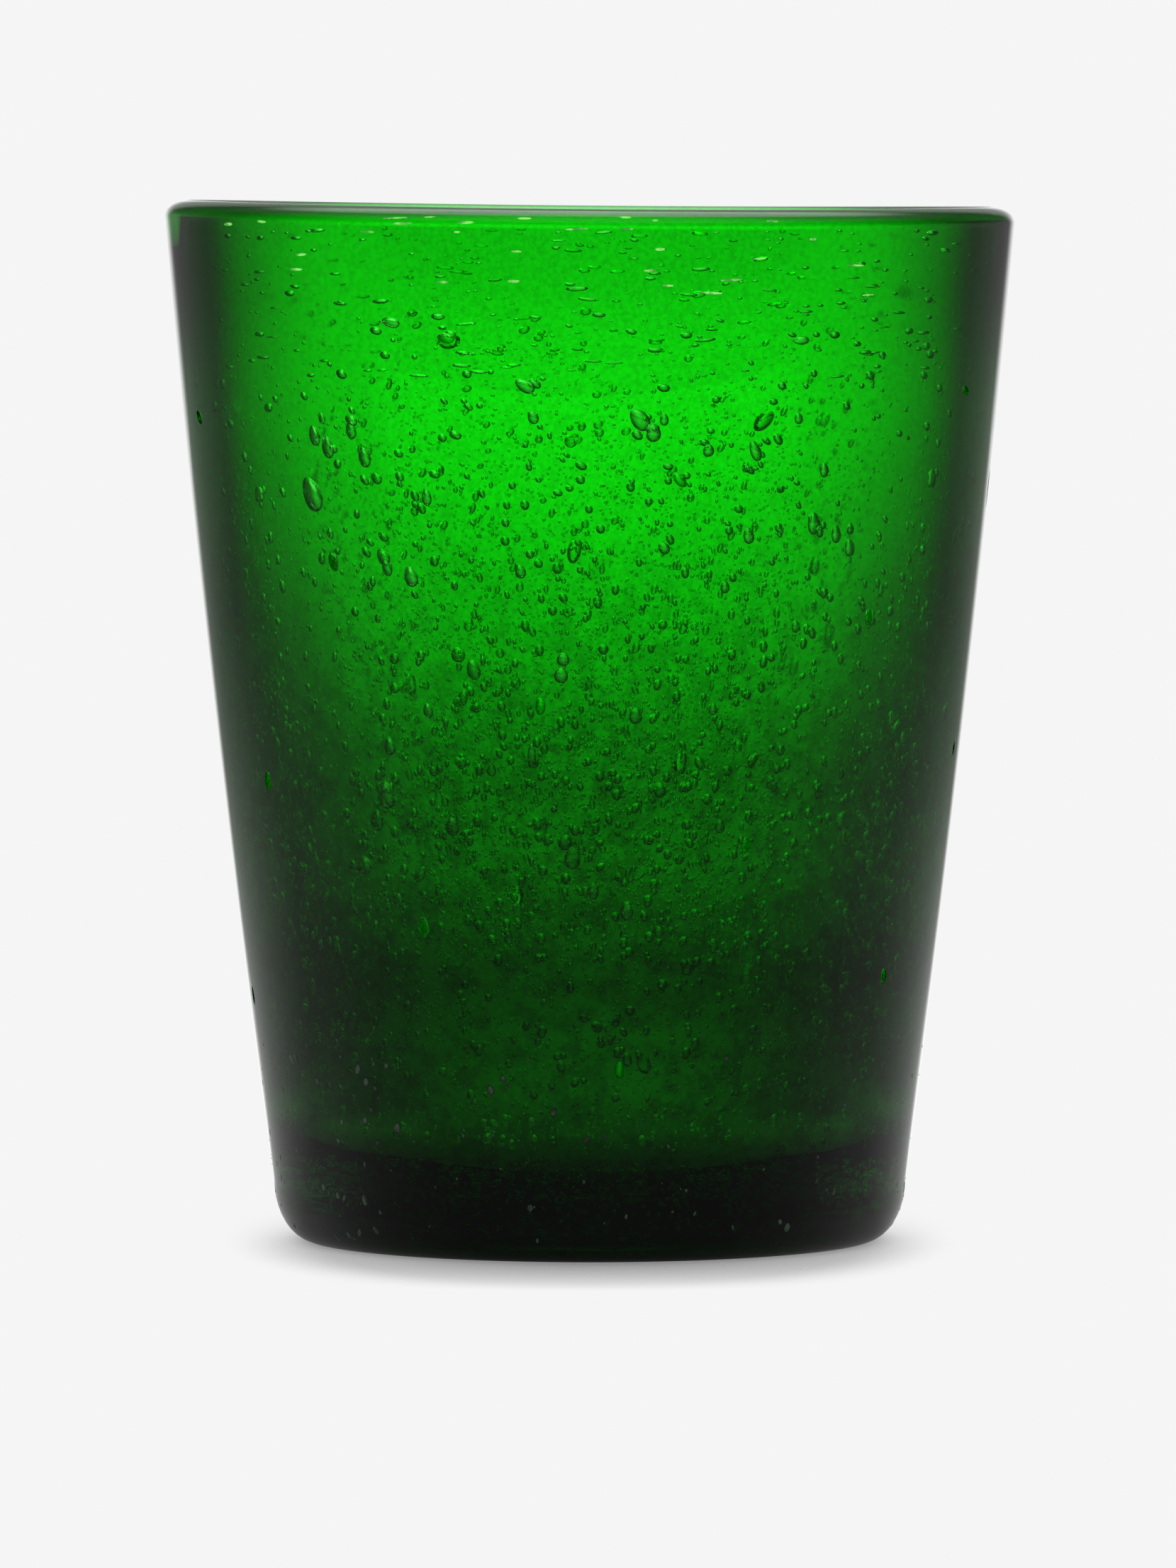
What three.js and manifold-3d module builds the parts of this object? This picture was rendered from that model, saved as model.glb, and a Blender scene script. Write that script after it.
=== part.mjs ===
// A bubble drinking glass: a thick-walled, tapered tumbler blown in one piece of seeded green glass.
// It has a heavy base, a rounded lip that is a little wavy and out of level, a shallow hollow under
// the foot and, in the outer skin, the pits of bubbles that opened while the glass was worked.
// Millimetres, +Z up. The origin is the centre of the foot, on the table.
import * as THREE from "three";
import { mergeVertices } from "three/addons/utils/BufferGeometryUtils.js";
import Module from "manifold-3d";

// Outer form
const height = 100.25; // table to the mean crest of the lip
const footRadius = 29.85; // outer wall carried straight down to the table
const mouthRadius = 41.25; // outer wall carried straight up to the crest
const wallBelly = 0.6; // how far the outer wall bows out from a straight taper at mid height

// Lip
const lipDrop = 1.55; // from the crest down to where each wall begins
const lipTilt = 0.36; // the crest stands this much higher on -X and lower on +X
const lipNod = 0.1; // and this much higher on -Y and lower on +Y
const lipWave = 0.22; // and this much higher on both X sides and lower on both Y sides
const lipReach = 30; // the part of the wall, below the crest, that takes up these lifts

// Walls and base
const wallAtLip = 4.8;
const wallAtBase = 10; // level with the inside floor
const wallWaist = 0.9; // how much thinner the wall is at mid height than a straight taper
const floorThickness = 8.6; // table to the middle of the inside floor
const floorDish = 1.4; // the floor stands this much higher where its rounding begins
const floorRounding = 11; // radius between the inside floor and the wall

// Foot
const footRingOuter = 26.9; // where the flat ring ends and the rounded heel begins
const footRingInner = 19; // where the flat ring ends and the hollow begins
const heelHeight = 6; // how high the rounded heel reaches up the wall
const hollowDepth = 1.1; // of the hollow inside the foot ring

// Bubbles that opened in the outer skin: drawn out along the lip, leaning below it, upright lower down
const pitCount = 30;
const pitSmallest = 0.45; // half of a pit's width
const pitLargest = 1.05;
const pitStretch = 1.7; // length over width
const pitSink = 0.3; // how far a pit's centre lies under the skin, as a share of half its width
const pitLowest = 12; // the band of the wall that has pits
const pitHighest = 92;
const pitUprightBelow = 55; // the pits stand upright up to here
const pitLevelAbove = 95; // and lie along the lip from here

// One long bubble that broke open as a slot, on +X a little towards -Y
const slotHeight = 73;
const slotTurn = THREE.MathUtils.degToRad(-5);
const slotLength = 3.8;
const slotWidth = 1;
const slotDepth = 0.35;

// Smoothness
const turnSteps = 72; // facets round the glass
const wallSteps = 11; // along each wall
const cornerSteps = 6; // along each rounded corner
const dishSteps = 4; // across the hollow and across the inside floor
const pitDetail = 1; // subdivisions of a pit's icosahedron

const goldenAngle = Math.PI * (3 - Math.sqrt(5));
const goldenShare = (Math.sqrt(5) - 1) / 2;

// A taper from low to high over the share t of its length, bowed outwards by bow at its middle.
function bowedTaper(low, high, bow, t) {
  return low + (high - low) * t + bow * 4 * t * (1 - t);
}

function outerRadius(z) {
  return bowedTaper(footRadius, mouthRadius, wallBelly, z / height);
}

function wallThickness(z) {
  const share = (z - floorThickness) / (height - floorThickness);
  return bowedTaper(wallAtBase, wallAtLip, -wallWaist, share);
}

function innerRadius(z) {
  return outerRadius(z) - wallThickness(z);
}

// A quarter of an ellipse from one point to another, without the first.
// It leaves the first point along the radius, or else along the axis.
function quarterTurn(from, to, leavesAlongRadius) {
  const points = [];
  for (let i = 1; i <= cornerSteps; i += 1) {
    const angle = (i / cornerSteps) * (Math.PI / 2);
    const early = Math.sin(angle);
    const late = 1 - Math.cos(angle);
    const across = leavesAlongRadius ? early : late;
    const up = leavesAlongRadius ? late : early;
    const x = THREE.MathUtils.lerp(from.x, to.x, across);
    const y = THREE.MathUtils.lerp(from.y, to.y, up);
    points.push(new THREE.Vector2(x, y));
  }
  return points;
}

// Points along a wall whose radius at a height is given, without the first.
function wallPoints(radiusAt, fromZ, toZ) {
  const points = [];
  for (let i = 1; i <= wallSteps; i += 1) {
    const z = THREE.MathUtils.lerp(fromZ, toZ, i / wallSteps);
    points.push(new THREE.Vector2(radiusAt(z), z));
  }
  return points;
}

// Points of a shallow dish from the axis out to its edge.
function dishPoints(edgeRadius, edgeZ, middleZ) {
  const points = [];
  for (let i = 0; i <= dishSteps; i += 1) {
    const share = i / dishSteps;
    const z = THREE.MathUtils.lerp(middleZ, edgeZ, share * share);
    points.push(new THREE.Vector2(edgeRadius * share, z));
  }
  return points;
}

// The half section of the glass, from the axis under the foot round to the axis on the floor.
function halfSection() {
  const lipStart = height - lipDrop;
  const lipOuter = new THREE.Vector2(outerRadius(lipStart), lipStart);
  const lipInner = new THREE.Vector2(innerRadius(lipStart), lipStart);
  const crest = new THREE.Vector2((lipOuter.x + lipInner.x) / 2, height);
  const footEdge = new THREE.Vector2(footRingOuter, 0);
  const heelTop = new THREE.Vector2(outerRadius(heelHeight), heelHeight);

  const floorEdgeZ = floorThickness + floorDish;
  const bowlStart = floorEdgeZ + floorRounding;
  const bowlEdge = new THREE.Vector2(innerRadius(bowlStart), bowlStart);
  const floorEdge = new THREE.Vector2(innerRadius(bowlStart) - floorRounding, floorEdgeZ);
  const floorFromEdge = dishPoints(floorEdge.x, floorEdge.y, floorThickness).reverse();

  return [
    ...dishPoints(footRingInner, 0, hollowDepth),
    footEdge,
    ...quarterTurn(footEdge, heelTop, true),
    ...wallPoints(outerRadius, heelHeight, lipStart),
    ...quarterTurn(lipOuter, crest, false),
    ...quarterTurn(crest, lipInner, true),
    ...wallPoints(innerRadius, lipStart, bowlStart),
    ...quarterTurn(bowlEdge, floorEdge, false),
    ...floorFromEdge.slice(1),
  ];
}

// Tilts and waves the lip, fading out down the wall.
function unevenLip(geometry) {
  const position = geometry.getAttribute("position");
  for (let i = 0; i < position.count; i += 1) {
    const z = position.getZ(i);
    const across = position.getX(i) / mouthRadius;
    const along = position.getY(i) / mouthRadius;
    const share = THREE.MathUtils.smoothstep(z, height - lipReach, height);
    const lift = -lipTilt * across - lipNod * along + lipWave * (across ** 2 - along ** 2);
    position.setZ(i, z + share * lift);
  }
}

function blankGeometry() {
  const geometry = new THREE.LatheGeometry(halfSection(), turnSteps);
  geometry.rotateX(Math.PI / 2);
  unevenLip(geometry);
  return geometry;
}

// Where the pits lie: spread over the band by the golden angle, with sizes that run through their range.
function pitPlacements() {
  const placements = [];
  for (let i = 0; i < pitCount; i += 1) {
    const z = THREE.MathUtils.lerp(pitLowest, pitHighest, (i + 0.5) / pitCount);
    const sizeShare = (i * goldenShare) % 1;
    const halfWidth = THREE.MathUtils.lerp(pitSmallest, pitLargest, sizeShare ** 2);
    placements.push({ z, halfWidth, turn: i * goldenAngle });
  }
  return placements;
}

// The ellipsoid that opens one pit, its centre just under the skin.
function pitGeometry({ z, halfWidth, turn }) {
  const geometry = new THREE.IcosahedronGeometry(halfWidth, pitDetail);
  const lean = (Math.PI / 2) * THREE.MathUtils.smoothstep(z, pitUprightBelow, pitLevelAbove);
  geometry.scale(1, 1, pitStretch);
  geometry.rotateX(lean);
  geometry.translate(outerRadius(z) - halfWidth * pitSink, 0, z);
  geometry.rotateZ(turn);
  return geometry;
}

// The ellipsoid that opens the slot. Its centre is on the skin.
function slotGeometry() {
  const geometry = new THREE.IcosahedronGeometry(1, pitDetail);
  geometry.scale(slotDepth, slotWidth / 2, slotLength / 2);
  geometry.translate(outerRadius(slotHeight), 0, slotHeight);
  geometry.rotateZ(slotTurn);
  return geometry;
}

// A closed three.js geometry as a manifold-3d solid.
function solidOf(wasm, geometry) {
  const bare = geometry.clone();
  bare.deleteAttribute("normal");
  bare.deleteAttribute("uv");
  const merged = mergeVertices(bare);
  const mesh = new wasm.Mesh({
    numProp: 3,
    vertProperties: merged.getAttribute("position").array,
    triVerts: new Uint32Array(merged.index.array),
  });
  return new wasm.Manifold(mesh);
}

// A manifold-3d solid back as a three.js geometry.
function geometryOf(solid) {
  const mesh = solid.getMesh();
  const geometry = new THREE.BufferGeometry();
  geometry.setAttribute("position", new THREE.BufferAttribute(mesh.vertProperties, mesh.numProp));
  geometry.setIndex(new THREE.BufferAttribute(mesh.triVerts, 1));
  geometry.computeVertexNormals();
  return geometry;
}

async function glassGeometry() {
  const wasm = await Module();
  wasm.setup();
  let glass = solidOf(wasm, blankGeometry());
  for (const placement of pitPlacements()) {
    glass = glass.subtract(solidOf(wasm, pitGeometry(placement)));
  }
  glass = glass.subtract(solidOf(wasm, slotGeometry()));
  return geometryOf(glass);
}

const greenGlass = new THREE.MeshStandardMaterial({
  name: "green_glass",
  color: 0x0a8a12,
  roughness: 0.12,
  metalness: 0,
  transparent: true,
  opacity: 0.8,
});

const tumbler = new THREE.Mesh(await glassGeometry(), greenGlass);
tumbler.name = "glass_body";

const drinkingGlass = new THREE.Group();
drinkingGlass.name = "bubble_drinking_glass";
drinkingGlass.add(tumbler);

export default drinkingGlass;
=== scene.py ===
"""A bubble drinking glass: a tumbler blown in one piece of green glass, full of trapped air."""

import math
import random

import bmesh
import bpy
from mathutils import Matrix, Vector


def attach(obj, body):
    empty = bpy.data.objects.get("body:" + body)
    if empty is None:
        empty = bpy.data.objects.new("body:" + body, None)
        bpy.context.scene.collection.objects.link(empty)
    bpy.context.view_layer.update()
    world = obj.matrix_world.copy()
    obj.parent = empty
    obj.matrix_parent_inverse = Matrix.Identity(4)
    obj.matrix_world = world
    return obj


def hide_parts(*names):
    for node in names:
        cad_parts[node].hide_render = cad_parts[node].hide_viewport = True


MM = 0.001

# The tumbler, in millimetres, as the frame holds it
HEIGHT = 100.25  # from the table to the mean crest of the lip
FOOT_RADIUS = 29.85  # of the outer wall, carried straight down to the table
MOUTH_RADIUS = 41.25  # of the outer wall, carried straight up to the crest
WALL_BELLY = 0.6  # how far the outer wall bows out from a straight taper at mid height
LIP_DROP = 1.55  # from the crest down to where each wall begins
LIP_TILT = 0.36  # the lip stands this much higher on -X and lower on +X
LIP_NOD = 0.1  # and this much higher on -Y and lower on +Y
LIP_WAVE = 0.22  # and this much higher on both X sides and lower on both Y sides
LIP_REACH = 30.0  # the part of the wall, below the crest, that takes up these lifts
WALL_AT_LIP = 4.8
WALL_AT_BASE = 10.0
WALL_WAIST = 0.9  # how much thinner the wall is at mid height than a straight taper
FLOOR_THICKNESS = 8.6
FLOOR_DISH = 1.4  # the floor stands this much higher where its rounding begins
FLOOR_ROUNDING = 11.0
FOOT_RING_OUTER = 26.9
FOOT_RING_INNER = 19.0
HEEL_HEIGHT = 6.0
HOLLOW_DEPTH = 1.1

# Smoothness of the blown body
TURN_STEPS = 144  # facets round the glass
OUTER_WALL_STEPS = 32
INNER_WALL_STEPS = 28
HEEL_STEPS = 10
LIP_STEPS = 9  # on each side of the crest
ROUNDING_STEPS = 12
HOLLOW_STEPS = 8
FLOOR_STEPS = 6
CORNER_EDGE = 0.35  # how close to a rounded corner a wall has its first ring of points
SHARP_ANGLE = math.radians(50)  # edges sharper than this stay crisp, such as the rims of the pits
SEAM = 0.001  # points closer together than this are one
SKIN_MARGIN = 0.05  # how far under the outer wall a point may lie and still belong to the skin
FLOOR_MARGIN = 0.1  # how far under the middle of the floor one may lie and still belong to the bowl

# Bubbles that opened in the outer skin
PIT_COUNT = 30
PIT_SMALLEST = 0.45  # half of a pit's width
PIT_LARGEST = 1.05
PIT_STRETCH = 1.7  # length over width
PIT_SINK = 0.3  # how deep a pit's centre lies, as a share of half its width
PIT_BAND = (12.0, 92.0)
UPRIGHT_BELOW = 55.0  # pits and bubbles stand upright up to here
LEVEL_ABOVE = 95.0  # and lie along the lip from here
GOLDEN_ANGLE = math.pi * (3 - math.sqrt(5))
GOLDEN_SHARE = (math.sqrt(5) - 1) / 2

# One long bubble that broke open as a slot: height, turn from +X, and depth, width and length
SLOT_HEIGHT = 73.0
SLOT_TURN = math.radians(-5)
SLOT_SIZES = (0.35, 1.0, 3.8)

# Bubbles at random in the wall
DICE_SEED = 7
WALL_BAND = (9, 96)
BUSIEST = 52  # the height with the most bubbles
LOW_BAND = (10, 48)
LOW_SHARE = 0.33  # of the bubbles, which are spread evenly over the low band
DEPTH_SHARES = (0.2, 0.75)  # of the wall's thickness, between which their middles lie
THICKEST_SHARE = 0.17  # of the wall's thickness, which half the thickness of a bubble stays under
DROP_TAPER = 0.16  # how much narrower a large bubble is at its top than at its middle
STRETCH = 1.3  # length over width in the wall
LIP_STRETCH = 1.5  # and how much more it is at the lip
STRETCH_RISE = (84, 95)  # heights between which the stretch grows
STRETCH_SPREAD = (0.8, 1.25)
LEAN_SPREAD = 0.3  # radians
LEAN_SETTLES = (80, 94)  # heights between which the leans fall into line

# Crowds of wall bubbles: how many, least and most half width, how strongly small ones outnumber large
# ones, and thickness over width
LARGE = (90, 0.5, 0.95, 2.0, 0.34)
MIDDLING = (600, 0.22, 0.55, 2.0, 0.36)
SWARM = (9, 0.22, 0.5, 1.5, 0.36)
SMALL = (1900, 0.2, 0.5, 1.4, 0.36)
FULLER = (1300, 0.24, 0.55, 1.2, 0.36)
SEEDS = (9500, 0.1, 0.23, 1.6, 0.45)
FINE_SEEDS = (9500, 0.07, 0.16, 1.0, 0.7)

# Swarms: bubbles that keep together in one small patch of the wall
SWARM_COUNT = 24
SWARM_BAND = (20, 92)
SWARM_SPREADS = (2.5, 6)

# Large bubbles of the front wall. Each is degrees round from the front, height, half width, half length,
# and degrees that its top leans to the left.
FRONT_DEPTHS = (1.0, 1.9)  # between which their middles lie under the skin
FRONT_FLATNESS = 0.34  # thickness over width
FRONT_BUBBLES = (
    (7.0, 80.3, 0.8, 1.2, 40), (8.9, 79.1, 0.7, 0.9, 10), (10.5, 80.3, 0.42, 0.6, 5),
    (-9.0, 83.5, 0.6, 1.0, 62), (-8.0, 80.5, 0.5, 0.65, 25), (-28.4, 89.4, 0.5, 0.95, 80),
    (30.3, 87.7, 0.4, 0.9, 90), (30.8, 80.3, 0.45, 0.55, 20), (16.9, 77.4, 0.55, 0.6, 0),
    (24.1, 77.3, 0.55, 1.05, 25), (35.4, 75.4, 0.5, 0.7, 10), (41.0, 68.0, 0.6, 0.9, 12),
    (38.5, 69.3, 0.55, 0.9, 10), (34.6, 70.3, 0.7, 1.1, 10), (23.5, 69.3, 0.55, 0.8, 15),
    (-42.6, 78.6, 0.65, 1.0, 15), (-40.5, 77.5, 0.7, 1.1, 12), (-36.3, 79.1, 0.6, 0.85, 10),
    (-34.0, 76.6, 0.65, 1.0, 15), (-44.0, 73.0, 1.15, 1.75, 24), (-41.5, 80.2, 0.4, 0.6, 20),
    (-27.0, 65.4, 0.7, 1.0, 15), (-31.4, 66.1, 0.5, 0.8, 20), (-24.0, 72.9, 0.5, 0.8, 5),
    (-4.0, 57.7, 0.6, 0.65, 0), (-4.3, 56.2, 0.65, 0.75, 0), (-25.4, 52.7, 0.5, 0.7, 10),
    (-17.9, 56.6, 0.65, 1.0, 12), (19.0, 52.9, 0.4, 0.6, 0), (7.0, 52.3, 0.6, 0.8, 0),
    (-34.0, 44.5, 1.0, 1.35, 5), (-9.0, 48.5, 0.4, 1.2, 0), (-2.8, 38.8, 0.75, 1.1, 0),
    (0.6, 35.7, 0.5, 0.8, 0), (6.0, 33.8, 0.6, 0.9, 0), (-22.2, 41.7, 0.65, 0.9, 5),
    (-39.4, 37.7, 0.9, 0.9, 10), (-32.8, 34.5, 0.5, 0.7, 0), (-32.5, 49.2, 0.6, 0.85, 10),
    (21.1, 41.7, 0.5, 0.7, 0), (57.6, 49.4, 0.6, 0.7, 10), (58.5, 74.3, 0.8, 0.9, 10),
    (-56.3, 72.8, 0.8, 0.8, 15), (-5.6, 19.8, 0.4, 0.4, 0), (-10.3, 13.6, 0.4, 0.4, 0),
    (28.5, 16.4, 0.5, 0.5, 0), (17.1, 22.2, 0.35, 0.4, 0),
)

# Long flat bubbles along the rim of the front wall. Each is degrees round from the front, height and
# half length.
DASH_DEPTH = 0.02
DASH_HALF_THICKNESS = 0.06
DASH_HALF_HEIGHTS = (0.11, 0.17)
DASH_LEAN = 0.03  # radians
RIM_DASHES = (
    (-56.8, 98.6, 0.8), (-49.2, 98.9, 0.7), (-26.5, 99.3, 1.45), (-25.4, 98.8, 1.05),
    (-30.7, 98.0, 0.8), (-21.6, 99.4, 0.7), (-16.5, 98.9, 0.85), (-17.7, 98.0, 0.35),
    (-8.6, 99.3, 0.7), (-1.7, 98.3, 1.15), (4.9, 98.3, 0.65), (4.6, 99.4, 0.65),
    (8.6, 99.1, 0.3), (24.7, 99.0, 0.65), (30.8, 97.3, 0.5), (37.9, 94.8, 1.2),
    (-43.0, 94.4, 0.85), (-41.9, 95.8, 0.7), (-10.1, 93.4, 0.6), (-9.7, 96.2, 0.55),
    (23.0, 95.5, 0.75), (19.1, 93.5, 1.25), (8.0, 94.4, 0.7), (9.3, 96.4, 0.55),
    (10.4, 93.0, 0.6), (16.3, 92.3, 1.25), (40.4, 92.0, 0.8), (-19.9, 93.3, 0.65),
)

# Small flat bubbles near the lip. Three numbers are the least, the most and how strongly the least
# outnumber the most.
RIM_COUNT = 450
RIM_HALF_LENGTHS = (0.25, 1.05, 2.2)
RIM_HALF_HEIGHTS = (0.12, 0.26)
RIM_FULLEST = 0.4  # height over length, at most
RIM_FLATNESS = 0.5  # thickness over height
RIM_DROPS = (2.3, 16.3, 1.3)  # below the crest
RIM_DEPTHS = (0.9, 2.9)
RIM_LEAN = 0.06  # radians
RIM_NODS = (-20, 65)  # degrees

# Bubbles right under the skin of the base and the lowest wall, some of them gathered on one side
BLISTER_COUNT = 270
BLISTER_HALF_WIDTHS = (0.08, 0.38, 2.5)
BLISTER_HEIGHTS = (1.5, 20.5, 1.3)
BLISTER_DEPTH = 0.04
BLISTER_HALF_THICKNESS = 0.06
BLISTER_LEANS = (-0.6, 0.6)  # radians
BLISTER_STRETCHES = (1, 2.2)  # length over width
EVENLY_SPREAD = 0.7  # the share of the blisters that is spread evenly round the glass
GATHERING_TURN = math.radians(215)
GATHERING_SPREAD = 0.4  # radians

# Seeds in the base, under the floor of the bowl
BASE_COUNT = 3000
BASE_RADII = (0.1, 0.3, 1.5)
BASE_BAND = (1.6, 7.8)
BASE_DEPTHS = (0.8, 28.8)

# Camera
CAMERA_DISTANCE = 1260.0
CAMERA_HEIGHT = 108.8
CAMERA_SIDEWAYS = -0.17
CAMERA_PITCH = 2.936  # degrees below level
CAMERA_LENS = 298.67
CAMERA_REACH = 20.0  # metres

# How often light may bend or be mirrored on its way
LIGHT_BOUNCES = 32
MIRROR_BOUNCES = 12

# Finish of the glass. A run is (start, end, level at the start, level at the end). It goes by height, in
# millimetres, or by slant, which is 0 on what is seen square on and 1 on what is seen edge on.
GLASS_BENDING = 1.5
AIR_BENDING = 0.6667  # of light that goes from glass into a bubble
FAINT_AIR_BENDING = 0.87  # for the finest seeds, which would look too harsh otherwise
GLASS_GREEN = (0.05, 0.98, 0.05, 1)
GLASS_DEPTH = 600.0  # how strongly the glass colours the light, for each metre
SKIN_ROUGHNESS = 0.02
FLOOR_ROUGHNESS = (17, 29, 0.5, 0.0)  # of the bowl by height
SLANT_ROUGHNESS = (0.1, 0.27, 0.0, 0.25)  # of the bowl by slant
# Painted shade at the skin's edges, by slant, and how it grows with height
PAINTED_EDGE_SHADE = (0.4, 0.6, 0.0, 0.93)
PAINTED_EDGE_SHADE_RISE = (30, 65, 0.25, 1.0)

# Painted shade in bands of the skin, each bounded by runs by height, and how each darkens by slant
LIP_BAND = ((80, 94, 0.0, 1.0),)
MIDDLE_BAND = ((20, 32, 0.0, 1.0), (60, 72, 1.0, 0.0))
LOW_WALL_BAND = ((17.5, 24.5, 1.0, 0.0),)
FOOT_BAND = ((11.5, 14.5, 1.0, 0.0),)
PAINTED_BAND_SHADES = (
    (LIP_BAND, (0.17, 0.5, 0.0, 0.52)),
    (LIP_BAND, (0.44, 0.56, 0.0, 0.35)),
    (LIP_BAND, (0.6, 0.77, 0.0, 1.0)),
    (MIDDLE_BAND, (0.15, 0.37, 0.0, 0.42)),
    (LOW_WALL_BAND, (0.09, 0.3, 0.0, 0.62)),
    (FOOT_BAND, (-0.03, 0.2, 0.0, 0.55)),
)
PAINTED_BASE_LIGHT = (0.25, 0.6, 0.0, 0.04)  # painted light: how bright the sides of the base are at least, by slant
PAINTED_BASE_LIGHT_BAND = ((8, 13, 1.0, 0.0), (3, 6.5, 0.0, 1.0))

# Painted shade of the skin at each share of the height, not worked out from the thickness of the glass: dark
# low down, clear above
PAINTED_SHADING_BY_HEIGHT = (
    (0.0, 0.004), (0.03, 0.003), (0.075, 0.0035), (0.085, 0.008), (0.093, 0.012),
    (0.101, 0.017), (0.109, 0.105), (0.117, 0.37), (0.125, 0.86), (0.133, 0.6),
    (0.141, 0.32), (0.152, 0.2), (0.166, 0.17), (0.182, 0.18), (0.2, 0.095), (0.213, 0.13),
    (0.23, 0.095), (0.26, 0.087), (0.283, 0.09), (0.32, 0.26), (0.386, 0.32), (0.453, 0.31),
    (0.519, 0.54), (0.586, 0.74), (0.652, 0.88), (0.72, 0.9), (0.8, 1.0),
)

# Mottle of the skin. A grain is (how fine, detail, roughness). Its runs go by the grain's own level.
DUST_GRAIN = (1900.0, 1.5, 0.6)
DUST_MOTTLE = (0.36, 0.58, 0.76, 1.0)
CLOUD_GRAIN = (420.0, 3.0, 0.65)
CLOUD_EDGES = (0.38, 0.56)
CLOUD_DIMMEST = (35, 85, 0.45, 1.0)  # by height

# Painted glints: pale skins on bubbles right at the surface, which stand in for the light that they mirror.
# Dim and bright tint, mixed by their grain
SPECK_GLINT_TINTS = ((0.008, 0.02, 0.009, 1), (0.028, 0.056, 0.032, 1))
DASH_GLINT_TINTS = ((0.05, 0.45, 0.04, 1), (0.26, 1.0, 0.14, 1))
GLINT_GRAIN = (900.0, 2.0, 0.5)
GLINT_MOTTLE = (0.35, 0.6, 0.0, 1.0)
GLINT_ROUGHNESS = 0.4

# Studio. Levels and runs by bearing go by how far a direction lies from straight behind the glass, as a
# share of a half turn. Runs by rise go by how far a direction points up, from 0 at level to 1.
SCREEN_LEVELS = (
    (0.0, 1.0), (0.028, 0.92), (0.042, 0.86), (0.056, 0.79), (0.072, 0.68), (0.089, 0.57),
    (0.117, 0.43), (0.183, 0.3), (0.25, 0.1),
)
MIRRORED_LEVELS = (
    (0.0, 0.2), (0.17, 0.19), (0.26, 0.2), (0.35, 0.147), (0.42, 0.105), (0.5, 0.08),
    (0.6, 0.06), (1.0, 0.053),
)
MIRRORED_FLOOR_LEVELS = (
    (0.0, 0.4), (0.117, 0.47), (0.183, 0.38), (0.278, 0.29), (0.372, 0.215), (0.45, 0.215),
    (0.539, 0.18), (0.64, 0.135), (0.81, 0.09), (1.0, 0.085),
)
MIRRORED_SCREEN = (0.12, 0.06, 0.0, 0.85)  # by bearing
MIRRORED_RISE = (0.02, 0.2, 1.0, 0.35)
LOW_SCREEN = (-0.05, -0.033, 0.9, 0.69)  # how bright the screen is low down, by rise
MIDDLE_SCREEN = (0.02, 0.08, 0.0, 0.37)  # and how much brighter above that
HIGH_SCREEN = (0.3, 0.7, 0.0, 0.3)  # its upper part, which the bubbles gather, by how far it lies behind
HIGH_SCREEN_RISE = (0.1, 0.3, 0.0, 1.0)
ROOM = 0.1  # the room in front of the glass, as light through the glass sees it
ROOM_FLOOR = 0.6
ROOM_BEARING = (0.4, 0.565, 0.0, 1.0)  # where the screen side goes over into the room
OVERHEAD = 0.8  # the soft light above, for light that comes through the glass
OVERHEAD_MIRRORED = 0.3
OVERHEAD_RISE = (0.45, 0.75, 0.0, 1.0)
LAMP_WAY = Vector((-0.6, -0.45, 0.66)).normalized()  # a small soft lamp at the upper left in front
LAMP_SPREAD = (0.87, 0.94, 0.0, 6.0)
TOP_LIGHT_WAY = Vector((0, 0.469, 0.883))  # a bright soft light high behind, which the lip mirrors
TOP_LIGHT_SPREAD = (0.85, 0.975, 0.0, 1.9)

# Floor, in millimetres
PALE = 0.913  # the plain pale of the background
FLOOR_REACH = 1500
FLOOR_STEPS_ROUND = 96
# How bright it is behind the glass, at each share of its reach
FLOOR_LEVELS = (
    (0.03, 0.7), (0.067, 0.7), (0.115, 0.68), (0.175, 0.68), (0.3, 0.74), (0.5, 0.82), (0.65, 1.0),
)
SHADOW_REACH = 27
SHADOW_HALF_WIDTH = 29.6  # of the oval that the soft shadow fades out along
SHADOW_LENGTH = 55
SHADOW_FADE = (0.9, 1.22, 0.0, 1.0)  # by the share of the oval's reach
SHADOW_LEAN = (0, 0.9, 0.44)  # where the light of the soft shadow comes from, so that it falls forwards
MIRROR_SQUEEZE = (50, 400, 0.65, 1.0)  # how much nearer the middle a mirrored place seems, by its reach
MIRROR_SHIFT = 15  # and how much further behind
MIRROR_REACH = (50, 600, 1.1, 0.5)
MIRROR_CONTACT = (26, 34, 0.5, 1.0)  # painted shade where the glass stands, in the floor that the glass mirrors


def bowed_taper(low, high, bow, t):
    """A taper from low to high over the share t of its length, bowed outwards at its middle."""
    return low + (high - low) * t + bow * 4 * t * (1 - t)


def outer_radius(z):
    return bowed_taper(FOOT_RADIUS, MOUTH_RADIUS, WALL_BELLY, z / HEIGHT)


def wall_thickness(z):
    share = (z - FLOOR_THICKNESS) / (HEIGHT - FLOOR_THICKNESS)
    return bowed_taper(WALL_AT_BASE, WALL_AT_LIP, -WALL_WAIST, share)


def inner_radius(z):
    return outer_radius(z) - wall_thickness(z)


def smoothstep(value, low, high):
    share = min(max((value - low) / (high - low), 0.0), 1.0)
    return share * share * (3 - 2 * share)


def lip_lift(x, y, z):
    """How far the uneven lip lifts a point of the wall."""
    across, along = x / MOUTH_RADIUS, y / MOUTH_RADIUS
    lift = -LIP_TILT * across - LIP_NOD * along + LIP_WAVE * (across ** 2 - along ** 2)
    return lift * smoothstep(z, HEIGHT - LIP_REACH, HEIGHT)


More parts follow.
